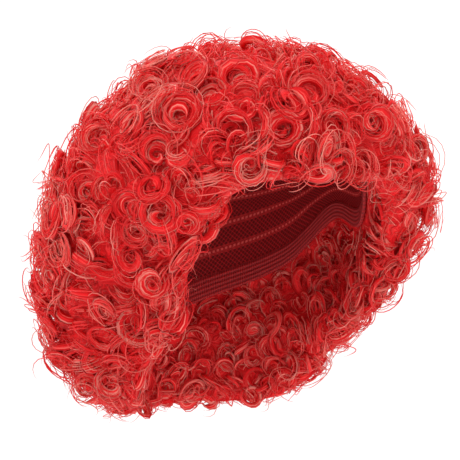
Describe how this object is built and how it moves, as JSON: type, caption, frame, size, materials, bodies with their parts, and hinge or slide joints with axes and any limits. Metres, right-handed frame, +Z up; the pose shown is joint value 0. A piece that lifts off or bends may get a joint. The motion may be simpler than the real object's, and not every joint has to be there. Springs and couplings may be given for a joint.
{
  "type": "curly clown wig",
  "caption": "Round, full wig of tight red ringlets sewn in rows on a stretch cap, open at the face and deeper at the nape.",
  "frame": {"origin": "on the head's vertical axis at the height of a hat band, where the head sits in the wig", "axes": "+Z up, -Y towards the wearer's face, +X to the wearer's left"},
  "size_m": [0.2787, 0.2722, 0.265],
  "materials": {
    "cap_net": "matte",
    "hair": "satin"
  },
  "bodies": {
    "root": {"cap": "cap_net", "weft_row_1": "hair", "weft_row_2": "hair", "weft_row_3": "hair", "weft_row_4": "hair", "weft_row_5": "hair", "weft_row_6": "hair", "weft_row_7": "hair", "weft_row_8": "hair", "weft_row_9": "hair"}
  },
  "joints": []
}
